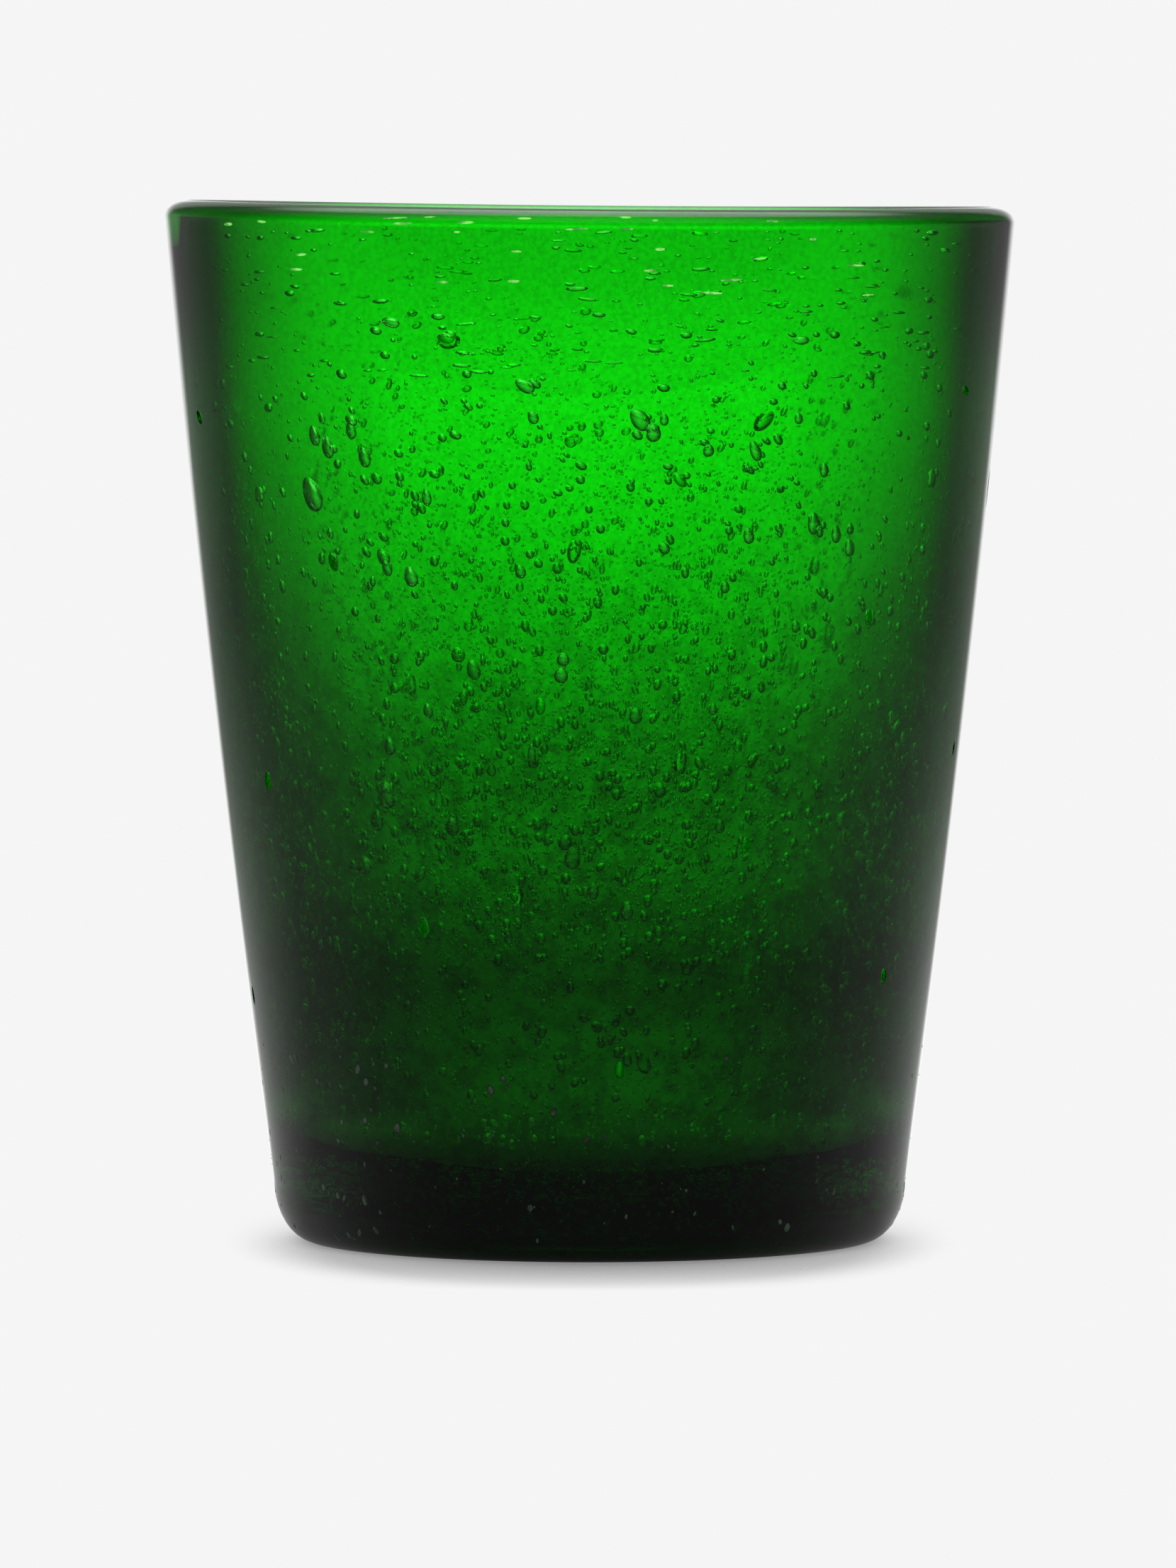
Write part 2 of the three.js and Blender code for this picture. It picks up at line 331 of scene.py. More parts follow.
def quarter_turn(start, end, leaves_along_radius, steps):
    """A quarter of an ellipse between two (radius, height) points, without the first."""
    points = []
    for i in range(1, steps + 1):
        angle = i / steps * math.pi / 2
        early, late = math.sin(angle), 1 - math.cos(angle)
        across, up = (early, late) if leaves_along_radius else (late, early)
        points.append((start[0] + (end[0] - start[0]) * across, start[1] + (end[1] - start[1]) * up))
    return points


def wall_points(radius_at, start, end, steps):
    """Points along a wall, without the first, with one close to each end to keep the corners tight."""
    edge = math.copysign(CORNER_EDGE, end - start)
    heights = [start + (end - start) * i / steps for i in range(1, steps)]
    return [(radius_at(z), z) for z in (start + edge, *heights, end - edge, end)]


def dish_points(edge_radius, edge_z, middle_z, steps):
    """Points of a shallow dish from the axis out to its edge."""
    shares = [i / steps for i in range(steps + 1)]
    return [(edge_radius * s, middle_z + (edge_z - middle_z) * s * s) for s in shares]


def half_section():
    """(radius, height) points from the axis under the foot round to the axis on the floor."""
    lip_start = HEIGHT - LIP_DROP
    lip_outer = (outer_radius(lip_start), lip_start)
    lip_inner = (inner_radius(lip_start), lip_start)
    crest = ((lip_outer[0] + lip_inner[0]) / 2, HEIGHT)
    foot_edge = (FOOT_RING_OUTER, 0.0)
    heel_top = (outer_radius(HEEL_HEIGHT), HEEL_HEIGHT)
    floor_edge_z = FLOOR_THICKNESS + FLOOR_DISH
    bowl_start = floor_edge_z + FLOOR_ROUNDING
    bowl_edge = (inner_radius(bowl_start), bowl_start)
    floor_edge = (inner_radius(bowl_start) - FLOOR_ROUNDING, floor_edge_z)
    floor = dish_points(*floor_edge, FLOOR_THICKNESS, FLOOR_STEPS)
    return [
        *dish_points(FOOT_RING_INNER, 0.0, HOLLOW_DEPTH, HOLLOW_STEPS),
        ((FOOT_RING_INNER + FOOT_RING_OUTER) / 2, 0.0),
        foot_edge,
        *quarter_turn(foot_edge, heel_top, True, HEEL_STEPS),
        *wall_points(outer_radius, HEEL_HEIGHT, lip_start, OUTER_WALL_STEPS),
        *quarter_turn(lip_outer, crest, False, LIP_STEPS),
        *quarter_turn(crest, lip_inner, True, LIP_STEPS),
        *wall_points(inner_radius, lip_start, bowl_start, INNER_WALL_STEPS),
        *quarter_turn(bowl_edge, floor_edge, False, ROUNDING_STEPS),
        *reversed(floor[:-1]),
    ]


def skin_at(z):
    """Radius of the outer skin at a height, and how far it faces upwards there."""
    lip_start = HEIGHT - LIP_DROP
    if z > lip_start:
        angle = math.asin(min((z - lip_start) / LIP_DROP, 1.0))
        lip_width = wall_thickness(lip_start) / 2
        radius = outer_radius(lip_start) - lip_width * (1 - math.cos(angle))
        return radius, math.atan2(lip_width * math.sin(angle), LIP_DROP * math.cos(angle))
    if z < HEEL_HEIGHT:
        angle = math.acos(1 - z / HEEL_HEIGHT)
        heel_width = outer_radius(HEEL_HEIGHT) - FOOT_RING_OUTER
        radius = FOOT_RING_OUTER + heel_width * math.sin(angle)
        return radius, -math.atan2(heel_width * math.cos(angle), HEEL_HEIGHT * math.sin(angle))
    return outer_radius(z), -math.atan((outer_radius(z + 1) - outer_radius(z - 1)) / 2)


def piece_of(bm, name, material):
    """A bmesh as a smooth object at the origin."""
    mesh = bpy.data.meshes.new(name)
    bm.to_mesh(mesh)
    bm.free()
    mesh.materials.append(material)
    mesh.polygons.foreach_set("use_smooth", [True] * len(mesh.polygons))
    piece = bpy.data.objects.new(name, mesh)
    bpy.context.scene.collection.objects.link(piece)
    return piece


def blown_body():
    """The skin of the glass: the half section spun round the axis, with an uneven lip."""
    bm = bmesh.new()
    points = [bm.verts.new((radius * MM, 0, z * MM)) for radius, z in half_section()]
    edges = [bm.edges.new(pair) for pair in zip(points, points[1:])]
    bmesh.ops.spin(bm, geom=points + edges, cent=(0, 0, 0), axis=(0, 0, 1),
                   angle=math.tau, steps=TURN_STEPS, use_merge=True)
    bmesh.ops.remove_doubles(bm, verts=bm.verts, dist=SEAM * MM)
    bmesh.ops.recalc_face_normals(bm, faces=bm.faces)
    for vert in bm.verts:
        vert.co.z += lip_lift(*(vert.co / MM)) * MM
    return bm


def mark_sides(bm):
    """Marks the points of the outer skin and of the bowl, so that the finish can tell them apart."""
    skin = bm.verts.layers.float.new("skin")
    bowl = bm.verts.layers.float.new("bowl")
    for vert in bm.verts:
        radius, z = vert.co.xy.length / MM, vert.co.z / MM
        mid_wall = outer_radius(z) - wall_thickness(z) / 2
        vert[skin] = float(radius > outer_radius(z) - SKIN_MARGIN or z < HEEL_HEIGHT)
        vert[bowl] = float(z > FLOOR_THICKNESS - FLOOR_MARGIN and radius < mid_wall)


def bubble_place(turn, z, depth, half_sizes, lean, nod=0.0):
    """The matrix that puts a unit sphere in the wall: half sizes are radial, across and along.

    It leans sideways within the wall, and nods so that its outer side faces upwards.
    """
    radius, upward = skin_at(z)
    inward = Vector((-math.cos(upward), 0, -math.sin(upward)))
    return (
        Matrix.Rotation(turn, 4, "Z")
        @ Matrix.Translation((Vector((radius, 0, z)) + inward * depth) * MM)
        @ Matrix.Rotation(-upward - nod, 4, "Y")
        @ Matrix.Rotation(lean, 4, "X")
        @ Matrix.Diagonal((*(size * MM for size in half_sizes), 1))
    )


def from_front(degrees):
    """The turn from +X of a place that many degrees round from the front."""
    return math.radians(degrees - 90)


def lean_at(z):
    """How far the working of the glass lays bubbles over, from upright low down to level at the lip."""
    return math.pi / 2 * smoothstep(z, UPRIGHT_BELOW, LEVEL_ABOVE)


def picked(dice, least, most, bias):
    """A size at random. The higher the bias, the more of them are near the least."""
    return least + (most - least) * dice.random() ** bias


def wall_bubble(dice, smallest, largest, bias, flatness, turn=None, z=None):
    """One bubble at random in the wall, drawn out more towards the lip."""
    turn = dice.uniform(0, math.tau) if turn is None else turn
    if z is None:
        is_low = dice.random() < LOW_SHARE
        z = dice.uniform(*LOW_BAND) if is_low else dice.triangular(*WALL_BAND, BUSIEST)
    z = min(max(z, WALL_BAND[0]), WALL_BAND[1])
    width = picked(dice, smallest, largest, bias)
    stretch = STRETCH + LIP_STRETCH * smoothstep(z, *STRETCH_RISE)
    stretch *= dice.uniform(*STRETCH_SPREAD)
    lean = lean_at(z) + dice.gauss(0, LEAN_SPREAD) * (1 - smoothstep(z, *LEAN_SETTLES))
    room = wall_thickness(z)
    depth = room * dice.uniform(*DEPTH_SHARES)
    thin = min(width * flatness, THICKEST_SHARE * room)
    across = width / math.sqrt(stretch)
    return bubble_place(turn, z, depth, (thin, across, across * stretch), lean)


def scattered(dice, count, *sizes):
    """Bubbles spread over the whole wall."""
    return [wall_bubble(dice, *sizes) for i in range(count)]


def swarm(dice, count, *sizes):
    """Bubbles that keep together in one small patch of the wall."""
    turn, z = dice.uniform(0, math.tau), dice.uniform(*SWARM_BAND)
    spread = dice.uniform(*SWARM_SPREADS)
    bubbles = []
    for i in range(count):
        aside = dice.gauss(0, spread / outer_radius(z))
        higher = dice.gauss(0, spread)
        bubbles.append(wall_bubble(dice, *sizes, turn + aside, z + higher))
    return bubbles


def front_bubble(dice, degrees, z, half_width, half_length, lean):
    """A large bubble close under the skin of the front wall."""
    depth = dice.uniform(*FRONT_DEPTHS)
    half_sizes = (FRONT_FLATNESS * half_width, half_width, half_length)
    return bubble_place(from_front(degrees), z, depth, half_sizes, math.radians(lean))


def rim_dash(dice, degrees, z, half_length):
    """A bubble drawn out flat along the lip, right at the skin, whose pale flash is a painted highlight in
    its skin.
    """
    half_sizes = (DASH_HALF_THICKNESS, half_length, dice.uniform(*DASH_HALF_HEIGHTS))
    return bubble_place(from_front(degrees), z, DASH_DEPTH, half_sizes, dice.gauss(0, DASH_LEAN))


def rim_bubble(dice):
    """A small flat bubble near the lip."""
    half_length = picked(dice, *RIM_HALF_LENGTHS)
    half_height = min(RIM_FULLEST * half_length, dice.uniform(*RIM_HALF_HEIGHTS))
    z = HEIGHT - picked(dice, *RIM_DROPS)
    depth = dice.uniform(*RIM_DEPTHS)
    half_sizes = (RIM_FLATNESS * half_height, half_length, half_height)
    nod = math.radians(dice.uniform(*RIM_NODS))
    turn = dice.uniform(0, math.tau)
    return bubble_place(turn, z, depth, half_sizes, dice.gauss(0, RIM_LEAN), nod)


def blister(dice):
    """A small bubble right under the skin of the base or the lowest wall, whose pale speck is a painted
    glint in its skin.
    """
    half_width = picked(dice, *BLISTER_HALF_WIDTHS)
    z = picked(dice, *BLISTER_HEIGHTS)
    lean = dice.uniform(*BLISTER_LEANS)
    if dice.random() < EVENLY_SPREAD:
        turn = dice.uniform(0, math.tau)
    else:
        turn = dice.gauss(GATHERING_TURN, GATHERING_SPREAD)
    half_length = half_width * dice.uniform(*BLISTER_STRETCHES)
    half_sizes = (BLISTER_HALF_THICKNESS, half_width, half_length)
    return bubble_place(turn, z, BLISTER_DEPTH, half_sizes, lean)


def base_bubble(dice):
    """A seed in the heavy base, under the floor of the bowl, spread evenly from the skin to the axis."""
    radius = picked(dice, *BASE_RADII)
    z = dice.uniform(*BASE_BAND)
    shallowest, deepest = BASE_DEPTHS
    depth = shallowest + (deepest - shallowest) * (1 - math.sqrt(dice.random()))
    return bubble_place(dice.uniform(0, math.tau), z, depth, (radius, radius, radius), 0)


def pit_places():
    """The bubbles that opened in the skin, spread over their band by the golden angle."""
    low, high = PIT_BAND
    for i in range(PIT_COUNT):
        z = low + (high - low) * (i + 0.5) / PIT_COUNT
        share = i * GOLDEN_SHARE % 1
        half_width = PIT_SMALLEST + (PIT_LARGEST - PIT_SMALLEST) * share * share
        half_sizes = (half_width, half_width, half_width * PIT_STRETCH)
        yield bubble_place(i * GOLDEN_ANGLE, z, half_width * PIT_SINK, half_sizes, lean_at(z))


def open_pits(bm):
    """The body with its pits and its slot cut into the skin."""
    body = piece_of(bm, "body", None)
    cutters = bmesh.new()
    depth, width, length = SLOT_SIZES
    slot = bubble_place(SLOT_TURN, SLOT_HEIGHT, 0, (depth, width / 2, length / 2), 0)
    for matrix in [*pit_places(), slot]:
        bmesh.ops.create_uvsphere(cutters, u_segments=16, v_segments=10, radius=1, matrix=matrix)
    cutter = piece_of(cutters, "cutter", None)
    cut = body.modifiers.new("pits", "BOOLEAN")
    cut.operation = "DIFFERENCE"
    cut.solver = "EXACT"
    cut.object = cutter
    pitted = bmesh.new()
    pitted.from_object(body, bpy.context.evaluated_depsgraph_get())
    for spent in (body, cutter):
        mesh = spent.data
        bpy.data.objects.remove(spent)
        bpy.data.meshes.remove(mesh)
    return pitted


def add_bubbles(bm, matrices, shape, inward=True):
    """Adds a bubble for each matrix, in handfuls, because each call looks at the whole of its mesh."""
    handful = 60
    for start in range(0, len(matrices), handful):
        part = bmesh.new()
        for matrix in matrices[start:start + handful]:
            shape(part, matrix)
        if inward:
            bmesh.ops.reverse_faces(part, faces=part.faces)
        mesh = bpy.data.meshes.new("handful")
        part.to_mesh(mesh)
        part.free()
        bm.from_mesh(mesh)
        bpy.data.meshes.remove(mesh)


def drop_bubble(bm, matrix):
    """A large bubble, a little narrower towards its top."""
    made = bmesh.ops.create_uvsphere(bm, u_segments=16, v_segments=11, radius=1)["verts"]
    for vert in made:
        vert.co.xy *= 1 - DROP_TAPER * vert.co.z
    bmesh.ops.transform(bm, matrix=matrix, verts=made)


def plain_bubble(bm, matrix):
    bmesh.ops.create_uvsphere(bm, u_segments=8, v_segments=6, radius=1, matrix=matrix)


def seed_bubble(bm, matrix):
    bmesh.ops.create_icosphere(bm, subdivisions=1, radius=1, matrix=matrix)


def skin_bubble(bm, matrix):
    """A bubble at the surface, smoother than a seed because its outline shows."""
    bmesh.ops.create_icosphere(bm, subdivisions=2, radius=1, matrix=matrix)


def node(tree, kind, **settings):
    made = tree.nodes.new(kind)
    for name, value in settings.items():
        setattr(made, name, value)
    return made


def feed(tree, socket, value):
    """Links a socket to another one, or sets it to a number."""
    if isinstance(value, bpy.types.NodeSocket):
        tree.links.new(value, socket)
    else:
        socket.default_value = value


def eased(tree, value, start, end, low, high):
    """Goes smoothly from low to high as the value goes from start to end."""
    made = node(tree, "ShaderNodeMapRange", interpolation_type="SMOOTHSTEP")
    for socket, setting in zip(made.inputs, (value, start, end, low, high)):
        feed(tree, socket, setting)
    return made.outputs[0]


def by_length(tree, length, start, end, low, high):
    """Goes smoothly from low to high with a length or a height, whose start and end are in millimetres."""
    return eased(tree, length, start * MM, end * MM, low, high)


def mixed(tree, share, low, high):
    made = node(tree, "ShaderNodeMix", data_type="FLOAT")
    for name, setting in (("Factor", share), ("A", low), ("B", high)):
        feed(tree, made.inputs[name], setting)
    return made.outputs[0]


def worked(tree, operation, first, second):
    made = node(tree, "ShaderNodeMath", operation=operation)
    feed(tree, made.inputs[0], first)
    feed(tree, made.inputs[1], second)
    return made.outputs[0]


def multiplied(tree, first, second):
    return worked(tree, "MULTIPLY", first, second)


def ramped(tree, value, stops):
    """Follows a run of (position, level) stops."""
    made = node(tree, "ShaderNodeValToRGB")
    elements = made.color_ramp.elements
    for element, (position, level) in zip(list(elements), (stops[0], stops[-1])):
        element.position = position
        element.color = (level, level, level, 1)
    for position, level in stops[1:-1]:
        elements.new(position).color = (level, level, level, 1)
    feed(tree, made.inputs[0], value)
    return made.outputs["Color"]


def measured(tree, operation, first, second=None):
    """A number worked out from one vector or two, such as a length."""
    made = node(tree, "ShaderNodeVectorMath", operation=operation)
    feed(tree, made.inputs[0], first)
    if second is not None:
        feed(tree, made.inputs[1], second)
    return made.outputs["Value"]


def split_up(tree, vector):
    """The X, Y and Z of a vector."""
    made = node(tree, "ShaderNodeSeparateXYZ")
    feed(tree, made.inputs[0], vector)
    return made.outputs


def own_place(tree):
    """Where a point lies on its own piece."""
    return node(tree, "ShaderNodeTexCoord").outputs["Object"]


def grain(tree, fineness, detail, roughness):
    """The level of a grain that runs through a piece."""
    noise = node(tree, "ShaderNodeTexNoise")
    for name, value in (("Scale", fineness), ("Detail", detail), ("Roughness", roughness)):
        noise.inputs[name].default_value = value
    feed(tree, noise.inputs["Vector"], own_place(tree))
    return noise.outputs["Fac"]


def mark(tree, name):
    return node(tree, "ShaderNodeAttribute", attribute_name=name).outputs["Fac"]


def band(tree, height, runs):
    """How far a height lies within the band that one or more runs bound."""
    inside = by_length(tree, height, *runs[0])
    for run in runs[1:]:
        inside = multiplied(tree, inside, by_length(tree, height, *run))
    return inside


def finish(name):
    """A new material, and its nodes."""
    material = bpy.data.materials.new(name)
    material.use_nodes = True
    return material, material.node_tree


def painted_shading(tree, height, slant):
    """Painted shade on the skin: dark low down and where it slants away from the eye, with painted light on
    the slanting sides of the base.
    """
    high_up = by_length(tree, height, *PAINTED_EDGE_SHADE_RISE)
    edge_shade = multiplied(tree, eased(tree, slant, *PAINTED_EDGE_SHADE), high_up)
    shading = worked(tree, "SUBTRACT", 1.0, edge_shade)
    for bounds, shade_run in PAINTED_BAND_SHADES:
        band_shade = multiplied(tree, eased(tree, slant, *shade_run), band(tree, height, bounds))
        shading = multiplied(tree, shading, worked(tree, "SUBTRACT", 1.0, band_shade))
    share_of_height = worked(tree, "DIVIDE", height, HEIGHT * MM)
    shading = multiplied(tree, shading, ramped(tree, share_of_height, PAINTED_SHADING_BY_HEIGHT))
    glow = multiplied(tree, eased(tree, slant, *PAINTED_BASE_LIGHT), band(tree, height, PAINTED_BASE_LIGHT_BAND))
    return worked(tree, "MAXIMUM", shading, glow)


def mottled(tree, height):
    """The fine dust and the soft clouds in the skin. The clouds fade out towards the lip."""
    dust = eased(tree, grain(tree, *DUST_GRAIN), *DUST_MOTTLE)
    dimmest = by_length(tree, height, *CLOUD_DIMMEST)
    clouds = eased(tree, grain(tree, *CLOUD_GRAIN), *CLOUD_EDGES, dimmest, 1.0)
    return multiplied(tree, dust, clouds)


def green_glass():
    """Deep green glass: glossy outside, softer on the floor and the slanting sides of the bowl."""
    material, tree = finish("green_glass")
    shader = tree.nodes["Principled BSDF"]
    shader.inputs["Transmission Weight"].default_value = 1.0
    shader.inputs["IOR"].default_value = GLASS_BENDING
    height = split_up(tree, own_place(tree))["Z"]
    slant = node(tree, "ShaderNodeLayerWeight").outputs["Facing"]
    in_floor = by_length(tree, height, *FLOOR_ROUGHNESS)
    slanting = eased(tree, slant, *SLANT_ROUGHNESS)
    in_bowl = worked(tree, "MAXIMUM", in_floor, slanting)
    feed(tree, shader.inputs["Roughness"], mixed(tree, mark(tree, "bowl"), SKIN_ROUGHNESS, in_bowl))
    # The outer skin's colour is painted shade and light, times the mottle; elsewhere it stays white.
    shading_and_mottle = multiplied(tree, painted_shading(tree, height, slant), mottled(tree, height))
    feed(tree, shader.inputs["Base Color"], mixed(tree, mark(tree, "skin"), 1.0, shading_and_mottle))

    depth = node(tree, "ShaderNodeVolumeAbsorption")
    depth.inputs["Color"].default_value = GLASS_GREEN
    depth.inputs["Density"].default_value = GLASS_DEPTH
    feed(tree, tree.nodes["Material Output"].inputs["Volume"], depth.outputs[0])
    return material


def trapped_air(name, bending):
    """The skin of a bubble: air inside glass, so light bends the other way there."""
    material, tree = finish(name)
    shader = tree.nodes["Principled BSDF"]
    shader.inputs["Transmission Weight"].default_value = 1.0
    shader.inputs["IOR"].default_value = bending
    shader.inputs["Roughness"].default_value = 0.0
    shader.inputs["Base Color"].default_value = (1, 1, 1, 1)
    return material


def painted_glint(name, dim, bright):
    """A painted glint: the pale skin of a bubble right at the surface, which stands in for the light that it
    mirrors.
    """
    material, tree = finish(name)
    shader = tree.nodes["Principled BSDF"]
    shader.inputs["Roughness"].default_value = GLINT_ROUGHNESS
    tint = node(tree, "ShaderNodeMix", data_type="RGBA")
    tint.inputs["A"].default_value = dim
    tint.inputs["B"].default_value = bright
    feed(tree, tint.inputs["Factor"], eased(tree, grain(tree, *GLINT_GRAIN), *GLINT_MOTTLE))
    feed(tree, shader.inputs["Base Color"], tint.outputs["Result"])
    return material


def apart(tree, way):
    """How far a direction lies from straight behind the glass, as a share of a half turn."""
    flat = node(tree, "ShaderNodeVectorMath", operation="MULTIPLY")
    flat.inputs[1].default_value = (1, 1, 0)
    unit = node(tree, "ShaderNodeVectorMath", operation="NORMALIZE")
    feed(tree, flat.inputs[0], way)
    feed(tree, unit.inputs[0], flat.outputs[0])
    angle = worked(tree, "ARCCOSINE", split_up(tree, unit.outputs[0])["Y"], 0.0)
    return worked(tree, "DIVIDE", angle, math.pi)


def mirrored_screen(tree, bearing):
    """The bright screen straight behind, as the skin mirrors it at its very edge."""
    return eased(tree, bearing, *MIRRORED_SCREEN)


def screen_behind(tree, way, bearing):
    """The bright screen behind the glass, as light through the glass sees it."""
    split = split_up(tree, way)
    rise = split["Z"]
    screen = ramped(tree, bearing, SCREEN_LEVELS)
    by_rise = worked(tree, "ADD", eased(tree, rise, *LOW_SCREEN), eased(tree, rise, *MIDDLE_SCREEN))
    behind = multiplied(tree, multiplied(tree, screen, screen), by_rise)
    high_up = eased(tree, rise, *HIGH_SCREEN_RISE)
    raised = multiplied(tree, eased(tree, split["Y"], *HIGH_SCREEN), high_up)
    return worked(tree, "MAXIMUM", behind, raised)


def studio_world():
    """A pale studio: plain for the camera and the floor, and set by direction for the glass.

    A bright screen stands behind the glass, the sides of the studio are dim, and the room
    in front is dark for reflections and a little paler for light that comes through the glass.
    """
    world = bpy.data.worlds.new("studio")
    bpy.context.scene.world = world
    world.use_nodes = True
    tree = world.node_tree
    background = tree.nodes["Background"]
    background.inputs["Color"].default_value = (1, 1, 1, 1)
    way = node(tree, "ShaderNodeTexCoord").outputs["Generated"]
    ray = node(tree, "ShaderNodeLightPath").outputs
    transmitted = ray["Is Transmission Ray"]
    bearing = apart(tree, way)
    rise = split_up(tree, way)["Z"]

    in_room = eased(tree, bearing, *ROOM_BEARING)
    through = mixed(tree, in_room, screen_behind(tree, way, bearing), ROOM)
    mirrored = worked(tree, "ADD", mirrored_screen(tree, bearing), ramped(tree, bearing, MIRRORED_LEVELS))
    mirrored = multiplied(tree, mirrored, eased(tree, rise, *MIRRORED_RISE))
    to_glass = mixed(tree, transmitted, mirrored, through)

    overhead = mixed(tree, transmitted, OVERHEAD_MIRRORED, OVERHEAD)
    to_glass = mixed(tree, eased(tree, rise, *OVERHEAD_RISE), to_glass, overhead)
    glint = eased(tree, measured(tree, "DOT_PRODUCT", way, LAMP_WAY), *LAMP_SPREAD)
    to_glass = worked(tree, "ADD", to_glass, multiplied(tree, transmitted, glint))
    gleam = eased(tree, measured(tree, "DOT_PRODUCT", way, TOP_LIGHT_WAY), *TOP_LIGHT_SPREAD)
    to_glass = worked(tree, "ADD", to_glass, mixed(tree, transmitted, gleam, 0.0))
    by_glass = worked(tree, "MAXIMUM", transmitted, ray["Is Glossy Ray"])
    feed(tree, background.inputs["Strength"], mixed(tree, by_glass, PALE, to_glass))


def soft_shadow(tree, place):
    """Painted shadow in the floor's glow: how much the glass shades it around its foot and mostly in front,
    from occlusion faded out along an oval.
    """
    light_way = node(tree, "ShaderNodeCombineXYZ")
    for socket, value in zip(light_way.inputs, SHADOW_LEAN):
        socket.default_value = value
    shade = node(tree, "ShaderNodeAmbientOcclusion", samples=12)
    shade.inputs["Distance"].default_value = SHADOW_REACH * MM
    feed(tree, shade.inputs["Normal"], light_way.outputs[0])
    split = split_up(tree, place)
    in_front = worked(tree, "MINIMUM", split["Y"], 0.0)
    oval = node(tree, "ShaderNodeCombineXYZ")
    feed(tree, oval.inputs[0], worked(tree, "DIVIDE", split["X"], SHADOW_HALF_WIDTH * MM))
    feed(tree, oval.inputs[1], worked(tree, "DIVIDE", in_front, SHADOW_LENGTH * MM))
    faded = eased(tree, measured(tree, "LENGTH", oval.outputs[0]), *SHADOW_FADE)
    return mixed(tree, faded, shade.outputs["AO"], 1.0)


def mirrored_floor(tree, place, reach):
    """The floor as the wall of the glass mirrors it, with painted shade where the glass stands."""
    split = split_up(tree, place)
    from_wall = node(tree, "ShaderNodeCombineXYZ")
    squeezed = multiplied(tree, split["X"], by_length(tree, reach, *MIRROR_SQUEEZE))
    feed(tree, from_wall.inputs[0], squeezed)
    feed(tree, from_wall.inputs[1], worked(tree, "ADD", split["Y"], MIRROR_SHIFT * MM))
    bearing = apart(tree, from_wall.outputs[0])
    mirrored = ramped(tree, bearing, MIRRORED_FLOOR_LEVELS)
    for run in (MIRROR_REACH, MIRROR_CONTACT):
        mirrored = multiplied(tree, mirrored, by_length(tree, reach, *run))
    return worked(tree, "ADD", mirrored, mirrored_screen(tree, bearing))


def studio_floor():
    """A pale round floor with a painted soft shadow. The glass mirrors it, and shows it through, at other
    levels.
    """
    bm = bmesh.new()
    bmesh.ops.create_circle(bm, cap_ends=True, segments=FLOOR_STEPS_ROUND, radius=FLOOR_REACH * MM)
    material, tree = finish("pale_floor")
    tree.nodes.remove(tree.nodes["Principled BSDF"])
    place = own_place(tree)
    ray = node(tree, "ShaderNodeLightPath").outputs
    reach = measured(tree, "LENGTH", place)
    seen = multiplied(tree, soft_shadow(tree, place), PALE)

    bearing = apart(tree, place)
    in_room = eased(tree, bearing, *ROOM_BEARING)
    by_reach = ramped(tree, worked(tree, "DIVIDE", reach, FLOOR_REACH * MM), FLOOR_LEVELS)
    by_bearing = mixed(tree, in_room, ramped(tree, bearing, SCREEN_LEVELS), ROOM_FLOOR)
    through = multiplied(tree, by_reach, by_bearing)

    level = mixed(tree, ray["Is Glossy Ray"], seen, mirrored_floor(tree, place, reach))
    level = mixed(tree, ray["Is Transmission Ray"], level, through)
    glow = node(tree, "ShaderNodeEmission")
    feed(tree, glow.inputs["Strength"], level)
    feed(tree, tree.nodes["Material Output"].inputs["Surface"], glow.outputs[0])
    piece_of(bm, "studio_floor", material)


def studio_camera():
    lens = bpy.data.cameras.new("camera")
    lens.lens = CAMERA_LENS
    lens.clip_end = CAMERA_REACH
    camera = bpy.data.objects.new("camera", lens)
    camera.location = Vector((CAMERA_SIDEWAYS, -CAMERA_DISTANCE, CAMERA_HEIGHT)) * MM
    camera.rotation_euler = (math.radians(90 - CAMERA_PITCH), 0, 0)
    bpy.context.scene.collection.objects.link(camera)
    bpy.context.scene.camera = camera


def blown_glass(dice):
    """The glass itself, with its open pits and the larger of the bubbles in its wall."""
    body = open_pits(blown_body())
    mark_sides(body)
    large = [front_bubble(dice, *shape) for shape in FRONT_BUBBLES]
    large += scattered(dice, *LARGE)
    middling = scattered(dice, *MIDDLING)
    for i in range(SWARM_COUNT):
        middling += swarm(dice, *SWARM)
    add_bubbles(body, large, drop_bubble)
    add_bubbles(body, middling, plain_bubble)
    glass = piece_of(body, "blown_glass", green_glass())
    glass.data.set_sharp_from_angle(angle=SHARP_ANGLE)
    return glass


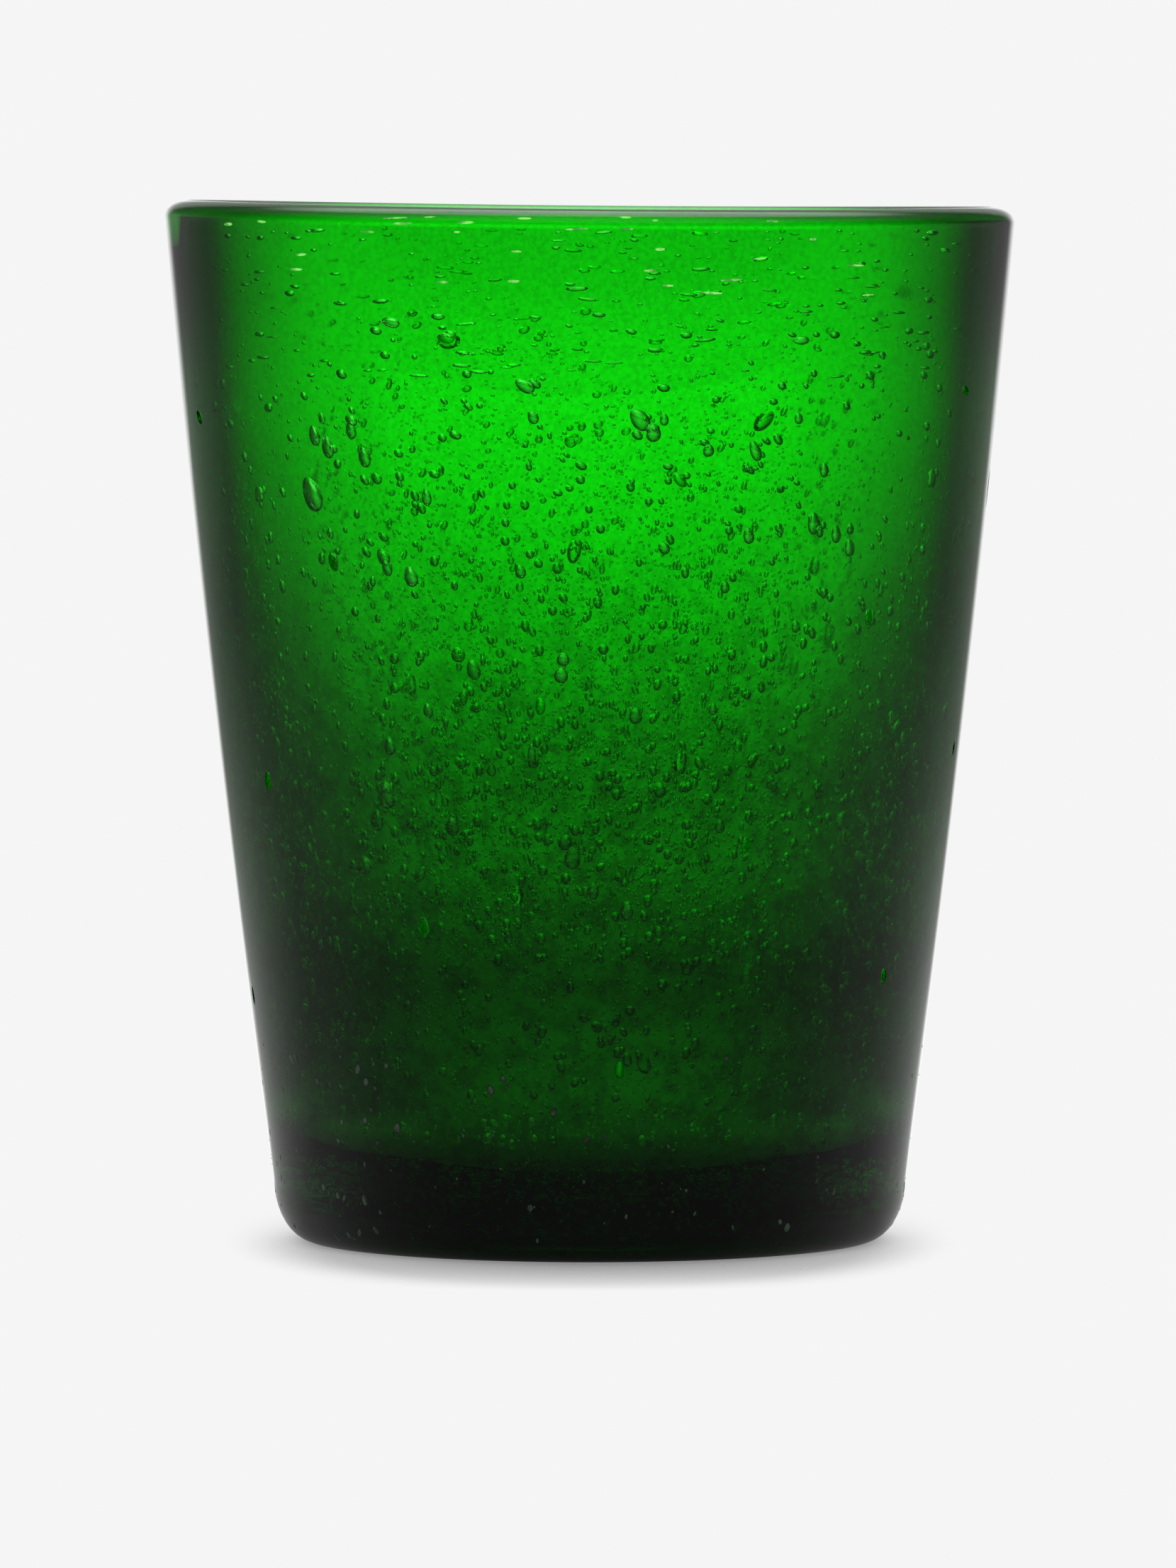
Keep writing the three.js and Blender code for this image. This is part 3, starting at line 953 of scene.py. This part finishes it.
def trapped_bubbles(dice):
    """The smaller bubbles, crowd by crowd, each crowd as one piece."""
    air = trapped_air("trapped_air", AIR_BENDING)
    faint_air = trapped_air("faint_air", FAINT_AIR_BENDING)
    speck_glints = painted_glint("painted_speck_glints", *SPECK_GLINT_TINTS)
    bright = painted_glint("painted_dash_glints", *DASH_GLINT_TINTS)
    crowds = (
        ("bubbles_1", air, plain_bubble, scattered(dice, *SMALL)),
        ("bubbles_2", air, plain_bubble, scattered(dice, *FULLER)),
        ("base_bubbles", air, seed_bubble, [base_bubble(dice) for i in range(BASE_COUNT)]),
        ("rim_bubbles", air, plain_bubble, [rim_bubble(dice) for i in range(RIM_COUNT)]),
        ("seeds_1", faint_air, seed_bubble, scattered(dice, *SEEDS)),
        ("seeds_2", faint_air, seed_bubble, scattered(dice, *SEEDS)),
        ("seeds_3", faint_air, seed_bubble, scattered(dice, *FINE_SEEDS)),
        ("blisters", speck_glints, skin_bubble, [blister(dice) for i in range(BLISTER_COUNT)]),
        ("rim_dashes", bright, skin_bubble, [rim_dash(dice, *shape) for shape in RIM_DASHES]),
    )
    for name, air_finish, shape, places in crowds:
        crowd = bmesh.new()
        add_bubbles(crowd, places, shape, inward=False)
        yield piece_of(crowd, name, air_finish)


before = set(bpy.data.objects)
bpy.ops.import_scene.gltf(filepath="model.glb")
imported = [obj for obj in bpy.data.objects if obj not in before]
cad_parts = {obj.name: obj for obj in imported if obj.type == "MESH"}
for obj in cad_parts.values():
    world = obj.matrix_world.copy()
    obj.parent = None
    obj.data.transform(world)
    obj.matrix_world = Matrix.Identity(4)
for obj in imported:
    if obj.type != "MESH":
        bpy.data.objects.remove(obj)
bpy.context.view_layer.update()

scene = bpy.context.scene
scene.view_settings.view_transform = "Standard"
scene.cycles.max_bounces = LIGHT_BOUNCES
scene.cycles.transmission_bounces = LIGHT_BOUNCES
scene.cycles.glossy_bounces = MIRROR_BOUNCES

studio_camera()
studio_world()
studio_floor()

dice = random.Random(DICE_SEED)
glass = blown_glass(dice)
for bubbles in trapped_bubbles(dice):
    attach(bubbles, "root")
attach(glass, "root")
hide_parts("glass_body")
